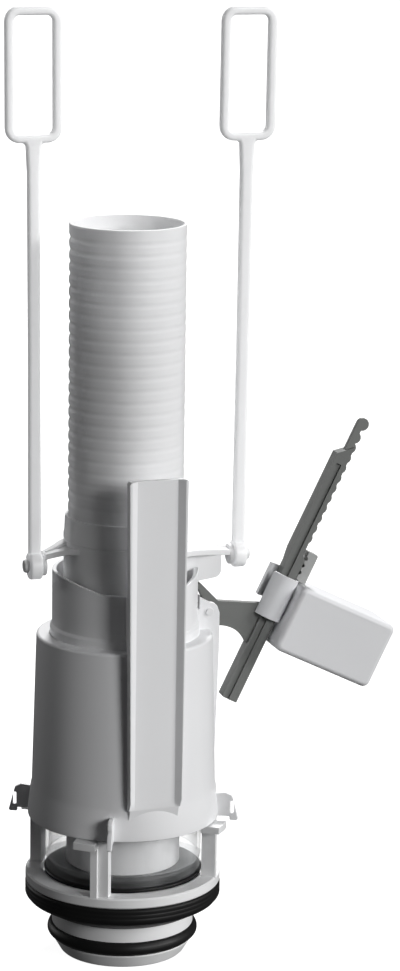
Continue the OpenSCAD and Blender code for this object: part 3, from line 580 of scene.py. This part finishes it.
# housing: a turned shell with a flared skirt, a shoulder and a notched neck
housing = {"low": 60.0, "skirt": 40.3, "collar": 3.0, "flare": 14.5, "ledge": 0.5, "ledgeHigh": 2.2,
           "bodyLow": 38.7, "bodyTop": 36.9, "shelf": 139.0, "shoulder": 0.9, "neck": 30.4, "bead": 0.9,
           "beadHigh": 3.2, "beadSlope": 1.2, "rim": 166.4, "wall": 1.8, "vHalf": 30.0, "vFloor": 16.5,
           "vDrop": 4.6, "vBack": 2.4, "notch": 5.3, "sill": 147.7, "underSill": 3.0, "soft": 0.4,
           "least": 20.0, "steps": 160}
# splayed guide rail on its front, carried by two ribs on the neck
rail = {"floor": 39.5, "half": 8.7, "deep": 1.9, "splay": 1.5, "lip": 1.0, "lipLeast": 0.3, "plate": 2.0,
        "low": 73.5, "top": 212.0, "narrow": 1.3, "fade": 3.5, "fadeEnd": 0.02, "tail": 5.0, "tailIn": 1.5,
        "lap": 1.0, "turn": 3.0, "corner": 2.0, "ribHalf": 1.0, "ribUnder": 2.0, "ribSoft": 0.3,
        "soft": 0.5, "least": 28.0}
# ears of the lever on a pad at the shoulder, and the bayonet lugs beside the posts
ear = {"gap": 3.0, "thick": 2.3, "out": 4.5, "eye": 4.0, "arcEnd": 80, "arcStep": 16, "rise": 6.6,
       "heel": 1.0, "toe": 8.0, "foot": 86.0, "overNeck": 0.6, "inBody": 0.9, "underShelf": 1.0,
       "padIn": 3.0, "padOut": 4.7, "padTop": 141.3, "padSoft": 0.3, "soft": 0.45}
lug = {"count": 4, "root": 39.4, "topRoot": 37.8, "topFall": 0.6, "free": 45.3, "out": 48.9, "chamfer": 0.6,
       "high": 10.5, "drop": 1.6, "lean": 2.7, "slot": 1.5, "thick": 2.0, "first": -30.0, "step": 7.2,
       "flat": 1.0, "soft": 0.35, "least": 25.0}


def makeShell():
    low, skirt, wall = housing["low"], housing["skirt"], housing["wall"]
    bodyLow, bodyTop, shoulder = housing["bodyLow"], housing["bodyTop"], housing["shoulder"]
    shelf, neck, rim = housing["shelf"], housing["neck"], housing["rim"]
    collarTop = low + housing["collar"]
    flareTop = low + housing["flare"]
    third = shoulder / 3
    bead = neck + housing["bead"]
    beadTop = shelf + housing["beadHigh"]
    outside = [(skirt, low), (skirt, collarTop),
               (bodyLow + housing["ledge"], flareTop - housing["ledgeHigh"]), (bodyLow, flareTop),
               (bodyTop, shelf - shoulder), (bodyTop - third, shelf - third), (bodyTop - shoulder, shelf),
               (bead, shelf), (bead, beadTop), (neck, beadTop + housing["beadSlope"]), (neck, rim)]
    inside = [(neck - wall, rim), (neck - wall, shelf - wall), (bodyTop - wall, shelf - wall),
              (bodyLow - wall, flareTop), (skirt - wall, collarTop), (skirt - wall, low)]
    bm = turnProfile(outside + inside, housing["steps"])
    for v in bm.verts:  # the rim sinks into a wide V at the front
        if v.co.z > (rim - level) * mm and v.co.y < -housing["vBack"] * mm:
            share = (housing["vHalf"] - abs(v.co.x) / mm) / (housing["vHalf"] - housing["vFloor"])
            v.co.z -= housing["vDrop"] * min(max(share, 0), 1) * mm
    cutNotch(bm)
    roundCorners(bm, housing["soft"], 3, housing["least"])
    return bm


# notch on the lever's side of the neck, with its cut edges closed
def cutNotch(bm):
    half, sill = housing["notch"] * mm, housing["sill"] * mm
    start = (housing["sill"] - housing["underSill"]) * mm
    middle = (housing["neck"] - housing["wall"] / 2) * mm

    def facesNear(reach, lowest):
        centres = [(f, f.calc_center_median()) for f in bm.faces]
        return [f for f, centre in centres if centre.x > 0 and abs(centre.y) < reach and centre.z > lowest]

    def cut(reach, place, across):
        found = facesNear(reach, start)
        around = list({e for f in found for e in f.edges}) + list({v for f in found for v in f.verts})
        bmesh.ops.bisect_plane(bm, geom=found + around, plane_co=place, plane_no=across, dist=cutSnap)

    for y in (-half, half):
        cut(2 * half, (0, y, 0), (0, 1, 0))
    cut(half, (0, 0, sill), (0, 0, 1))
    bmesh.ops.delete(bm, geom=facesNear(half, sill), context="FACES")
    bare = [e for e in bm.edges if e.is_boundary]
    chains = [e for e in bare if len({v.co.xy.length > middle for v in e.verts}) == 1]
    bmesh.ops.bridge_loops(bm, edges=chains)
    bmesh.ops.recalc_face_normals(bm, faces=bm.faces)


def makeRail():
    bm = bmesh.new()
    mouth = rail["half"] + rail["splay"] * rail["deep"]
    back = rail["plate"] - rail["floor"]
    loops = []
    faded, full = rail["low"] + rail["fade"], rail["deep"]  # the flanges fade out at the lower end
    for z, deep in ((rail["low"], rail["fadeEnd"]), (faded, full), (rail["top"], full)):
        side = mouth + rail["lip"] - rail["narrow"] * (rail["top"] - z) / (rail["top"] - rail["low"])
        lip = min(mouth, side - rail["lipLeast"])
        front = -rail["floor"] - deep
        ends = [(side, back), (side, front), (lip, front), (rail["half"], -rail["floor"])]
        points = [(-x, y) for x, y in ends] + [(x, y) for x, y in reversed(ends)]
        loops.append([bm.verts.new((x * mm, y * mm, z * mm)) for x, y in points])
    rings = [[bm.edges.new(pair) for pair in zip(loop, loop[1:] + loop[:1])] for loop in loops]
    for below, above in zip(rings, rings[1:]):
        bmesh.ops.bridge_loops(bm, edges=below + above)
    bm.faces.new(loops[0])
    bm.faces.new(loops[-1])
    bmesh.ops.recalc_face_normals(bm, faces=bm.faces)

    def isTopCorner(edge):
        first, second = (v.co for v in edge.verts)
        atTop = min(first.z, second.z) > (rail["top"] - level) * mm
        outside = min(abs(first.x), abs(second.x)) > mouth * mm + same
        return atTop and outside and abs(first.x - second.x) < same

    roundEdges(bm, [e for e in bm.edges if isTopCorner(e)], rail["corner"], 4)
    roundCorners(bm, rail["soft"], 2, rail["least"])
    half = mouth + rail["lip"] - rail["narrow"] - rail["soft"]
    tailLow, tailTop = rail["low"] - rail["tail"], rail["low"] + rail["lap"]
    outline = [(-rail["floor"], tailTop), (-rail["floor"], rail["low"]),
               (rail["tailIn"] - rail["floor"], tailLow), (back, tailLow), (back, tailTop)]
    tail = softPlate(outline, 2 * half, rail["soft"], rail["least"])  # the web sinks into the flare
    joinInto(bm, tail, turned(90, "Z"))
    ribLow, ribTop = housing["shelf"] - rail["ribUnder"], housing["rim"] - housing["vDrop"]
    for x in (-rail["half"], rail["half"]):
        low = (x - rail["ribHalf"], back - rail["lap"], ribLow)
        high = (x + rail["ribHalf"], housing["wall"] - housing["neck"], ribTop)
        joinInto(bm, softBox(low, high, rail["ribSoft"]))
    moveBy(bm, turned(rail["turn"], "Z"))
    return bm


def makeEars():
    pivot = Vector(joints["lever_swing"]["pos_m"]) / mm
    inner, outer = housing["neck"] - housing["wall"], housing["neck"] + ear["overNeck"]
    front, rear = pivot.x + ear["out"], housing["bodyTop"] - ear["inBody"]
    under = housing["shelf"] - ear["underShelf"]
    angles = [math.radians(a) for a in range(0, ear["arcEnd"] + 1, ear["arcStep"])]
    arc = [(pivot.x + ear["eye"] * math.sin(a), pivot.z + ear["eye"] * math.cos(a)) for a in angles]
    inwards = [(inner, under), (inner, housing["sill"]), (outer, housing["sill"]),
               (outer, pivot.z + ear["rise"])]
    outwards = [(front, pivot.z - ear["heel"]), (front, housing["shelf"] - ear["toe"]),
                (housing["bodyLow"], ear["foot"]), (rear, ear["foot"]), (rear, under)]
    bm = bmesh.new()
    side = ear["gap"] + ear["thick"] / 2
    for y in (-side, side):
        plate = softPlate(inwards + arc + outwards, ear["thick"], ear["soft"])
        joinInto(bm, plate, Matrix.Translation((0, y * mm, 0)))
    low = (housing["bodyTop"] - ear["padIn"], -side, under)
    high = (pivot.x + ear["padOut"], side, ear["padTop"])
    joinInto(bm, softBox(low, high, ear["padSoft"]))
    return bm


def makeLugs():
    bm = bmesh.new()
    outline = [(lug["root"], 0), (lug["free"], 0), (lug["free"], -lug["drop"]),
               (lug["out"] - lug["chamfer"], -lug["drop"]), (lug["out"], lug["chamfer"] - lug["drop"]),
               (lug["out"] - lug["lean"], lug["high"] - lug["lean"] / 2),
               (lug["out"] - 2 * lug["lean"], lug["high"]), (lug["topRoot"], lug["high"] - lug["topFall"])]
    slotIn = (lug["free"] + lug["out"]) / 2 - lug["slot"]
    slot = ((slotIn, slotIn + lug["slot"]), (lug["slot"], lug["slot"] + lug["high"] / 2))
    for i in range(lug["count"]):
        plate = bmesh.new()
        flatFace(plate, outline)
        for axis, cuts in zip(((1, 0, 0), (0, 0, 1)), slot):  # the slot is cut before the plate grows thick
            for cut in cuts:
                bmesh.ops.bisect_plane(plate, geom=plate.faces[:] + plate.edges[:] + plate.verts[:],
                                       plane_co=Vector(axis) * cut * mm, plane_no=axis, dist=cutSnap)
        hole = [f for f in plate.faces
                if all(a * mm < c < b * mm for (a, b), c in zip(slot, f.calc_center_median().xz))]
        bmesh.ops.delete(plate, geom=hole, context="FACES_ONLY")
        thicken(plate, lug["thick"])
        bmesh.ops.dissolve_limit(plate, angle_limit=math.radians(lug["flat"]), verts=plate.verts,
                                 edges=plate.edges)
        roundCorners(plate, lug["soft"], 2, lug["least"])
        turn = turned(lug["first"] + lug["step"] + 360 / lug["count"] * (i - 1), "Z")
        joinInto(bm, plate, Matrix.Translation((0, 0, housing["low"] * mm)) @ turn)
    return bm


def makeHousing():
    bm = makeShell()
    for part in (makeRail(), makeEars(), makeLugs()):
        joinInto(bm, part)
    addPiece("valveHousing", bm, "housingWhite", "housing", ["valve_housing"])


makeHousing()
print("housing made")

# float: a soft-edged box, hollow behind the lid at its back
floatBox = {"corner": 3.0, "soft": 2.2, "wall": 1.5, "hollow": 19.0, "rim": 0.4}


def makeFloat():
    swing = joints["lever_swing"]
    place = Matrix.Translation(swing["pos_m"]) @ turned(swing["range_deg"][1], "Y")
    points = [place.inverted() @ v.co for v in nodes["float_shell"].data.vertices]
    low = [min(p[i] for p in points) for i in range(3)]
    high = [max(p[i] for p in points) for i in range(3)]
    bm = stretchedCube(low, high)
    deepEdges = [e for e in bm.edges if abs(e.verts[0].co.y - e.verts[1].co.y) > mm]
    roundEdges(bm, deepEdges, floatBox["corner"], 6)
    front = min(bm.faces, key=lambda f: f.calc_center_median().y)
    roundEdges(bm, front.edges[:], floatBox["soft"], 5)
    back = max(bm.faces, key=lambda f: f.calc_center_median().y)
    bmesh.ops.inset_region(bm, faces=[back], thickness=floatBox["wall"] * mm, use_boundary=True,
                           use_even_offset=True)
    grown = bmesh.ops.extrude_discrete_faces(bm, faces=[back])["faces"][0]
    bmesh.ops.translate(bm, vec=(0, -floatBox["hollow"] * mm, 0), verts=grown.verts)
    rimEdges = [e for e in sharpEdges(bm, cornerLeast) if all(v.co.y > high[1] - same for v in e.verts)]
    roundEdges(bm, rimEdges, floatBox["rim"], 2)
    moveBy(bm, place)
    addPiece("floatBox", bm, "floatWhite", "float", ["float_shell"])


makeFloat()

# rubber: the conical gasket with ridges round its edge, and the lip seal in the spigot's groove
gasket = {"inner": 30.05, "lip": 1.4, "edge": 7.4, "ridge": 0.25, "ridges": 3, "ridgeFrom": 0.3,
          "ridgeTo": 0.7, "soft": 0.5}
lipSeal = {"inner": 27.65, "seat": 29.6, "shoulder": 30.6, "land": 2.0, "soft": 0.8}
rubber = {"steps": 128, "least": 25.0}


def addRubber(name, node, profile, soft):
    bm = turnProfile(profile, rubber["steps"])
    roundCorners(bm, soft, 3, rubber["least"])
    addPiece(name, bm, "gasketBlack", "housing", [node])


def makeSeals():
    low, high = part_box("base_gasket")
    outer, base, top = high.x / mm, low.z / mm, high.z / mm
    edgeLow = top - gasket["edge"]
    profile = [(gasket["inner"], base), (gasket["inner"] + gasket["lip"], base),
               (outer - gasket["lip"], edgeLow), (outer - gasket["ridge"], edgeLow + gasket["lip"])]
    pitch = (gasket["edge"] - gasket["lip"] - gasket["soft"]) / gasket["ridges"]
    for i in range(gasket["ridges"]):
        z = edgeLow + gasket["lip"] + i * pitch
        profile += [(outer, z + gasket["ridgeFrom"] * pitch), (outer, z + gasket["ridgeTo"] * pitch),
                    (outer - gasket["ridge"], z + pitch)]
    profile += [(outer - 2 * gasket["soft"], top), (gasket["inner"], top)]
    addRubber("baseGasket", "base_gasket", profile, gasket["soft"])
    low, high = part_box("lip_seal")
    outer, base, top = high.x / mm, low.z / mm, high.z / mm
    middle = (base + top) / 2
    profile = [(lipSeal["inner"], base), (lipSeal["seat"], base), (outer, middle - lipSeal["land"] / 2),
               (outer, middle + lipSeal["land"] / 2), (lipSeal["shoulder"], top), (lipSeal["inner"], top)]
    addRubber("lipSeal", "lip_seal", profile, lipSeal["soft"])


makeSeals()
print("float and seals made")

# a pale sweep round the part, in metres: only the camera sees it, and it throws no light on the part
sweep = {"floor": 3.0, "far": 8.0, "bend": 1.2, "high": 7.0, "tone": 0.279, "rough": 0.9, "glow": 0.96,
         "steps": 48}


def makeSweep():
    path = [(0.0, 0.0), (sweep["floor"], 0.0), (sweep["far"], sweep["bend"]), (sweep["far"], sweep["high"])]
    bm = turnLine(path, False, sweep["steps"])
    mesh = bpy.data.meshes.new("paleSweep")
    bm.to_mesh(mesh)
    bm.free()
    paper = plainFinish("palePaper")
    setSockets(shaderOf(paper), {
        "Base Color": (sweep["tone"], sweep["tone"], sweep["tone"], 1),
        "Roughness": sweep["rough"],
        "Emission Color": (1, 1, 1, 1),
        "Emission Strength": sweep["glow"],
    })
    mesh.materials.append(paper)
    paperSweep = bpy.data.objects.new("paleSweep", mesh)
    bpy.context.scene.collection.objects.link(paperSweep)
    paperSweep.visible_diffuse = False
    paperSweep.visible_glossy = False
    paperSweep.visible_shadow = False


makeSweep()

# lamps: two soft window lights on the right, one behind for the tops, a faint rim and a spot on the tube
suns = {
    "frontRight": {"turn": 42.0, "rise": 17.0, "power": 1.42, "soft": 20.0},
    "farRight": {"turn": 78.0, "rise": 20.0, "power": 1.6, "soft": 20.0},
    "behind": {"turn": 175.0, "rise": 45.0, "power": 3.4, "soft": 14.0},
    "leftRim": {"turn": -130.0, "rise": 10.0, "power": 0.28, "soft": 20.0},
}
spot = {"place": (-0.447, 0.224, 0.44), "aim": (0.0, 0.0, 0.265), "cone": 19.0, "blend": 0.35, "power": 3.5,
        "soft": 0.16}
room = (0.045, 0.045, 0.0459, 1)
shot = {"place": (-0.3564, -1.2323, 0.49119), "yaw": -17.5, "pitch": 12.714, "roll": 0.8, "lens": 117.76,
        "sensor": 36.0, "far": 50.0}


# a direction from its turn away from the front and its rise, both in radians
def direction(turn, rise):
    return Vector((math.sin(turn) * math.cos(rise), -math.cos(turn) * math.cos(rise), math.sin(rise)))


def addLamp(name, kind, power, towards, place=(0, 0, 0)):
    data = bpy.data.lights.new(name, kind)
    data.energy = power
    lamp = bpy.data.objects.new(name, data)
    lamp.location = place
    lamp.rotation_mode = "QUATERNION"
    lamp.rotation_quaternion = towards.to_track_quat("Z", "Y")
    bpy.context.scene.collection.objects.link(lamp)
    return data


def makeLight():
    for name, sun in suns.items():
        towards = direction(math.radians(shot["yaw"] + sun["turn"]), math.radians(sun["rise"]))
        addLamp(name, "SUN", sun["power"], towards).angle = math.radians(sun["soft"])
    away = Vector(spot["place"]) - Vector(spot["aim"])
    lamp = addLamp("tubeSpot", "SPOT", spot["power"], away, spot["place"])
    lamp.spot_size = math.radians(spot["cone"])
    lamp.spot_blend = spot["blend"]
    lamp.shadow_soft_size = spot["soft"]
    world = bpy.data.worlds.new("dimRoom")
    world.use_nodes = True
    back = next(n for n in world.node_tree.nodes if n.type == "BACKGROUND")
    back.inputs["Color"].default_value = room
    bpy.context.scene.world = world


def makeCamera():
    yaw, pitch, roll = (math.radians(shot[k]) for k in ("yaw", "pitch", "roll"))
    back = direction(yaw, pitch)
    right = Vector((0, 0, 1)).cross(back).normalized()
    up = back.cross(right)
    across = right * math.cos(roll) + up * math.sin(roll)
    upright = up * math.cos(roll) - right * math.sin(roll)
    data = bpy.data.cameras.new("photoCamera")
    data.lens = shot["lens"]
    data.sensor_width = shot["sensor"]
    data.clip_end = shot["far"]
    camera = bpy.data.objects.new("photoCamera", data)
    camera.matrix_world = Matrix((across, upright, back)).transposed().to_4x4()
    camera.location = shot["place"]
    bpy.context.scene.collection.objects.link(camera)
    bpy.context.scene.camera = camera


makeLight()
makeCamera()
bpy.context.scene.view_settings.view_transform = "Standard"
print("sweep, lamps and camera set")
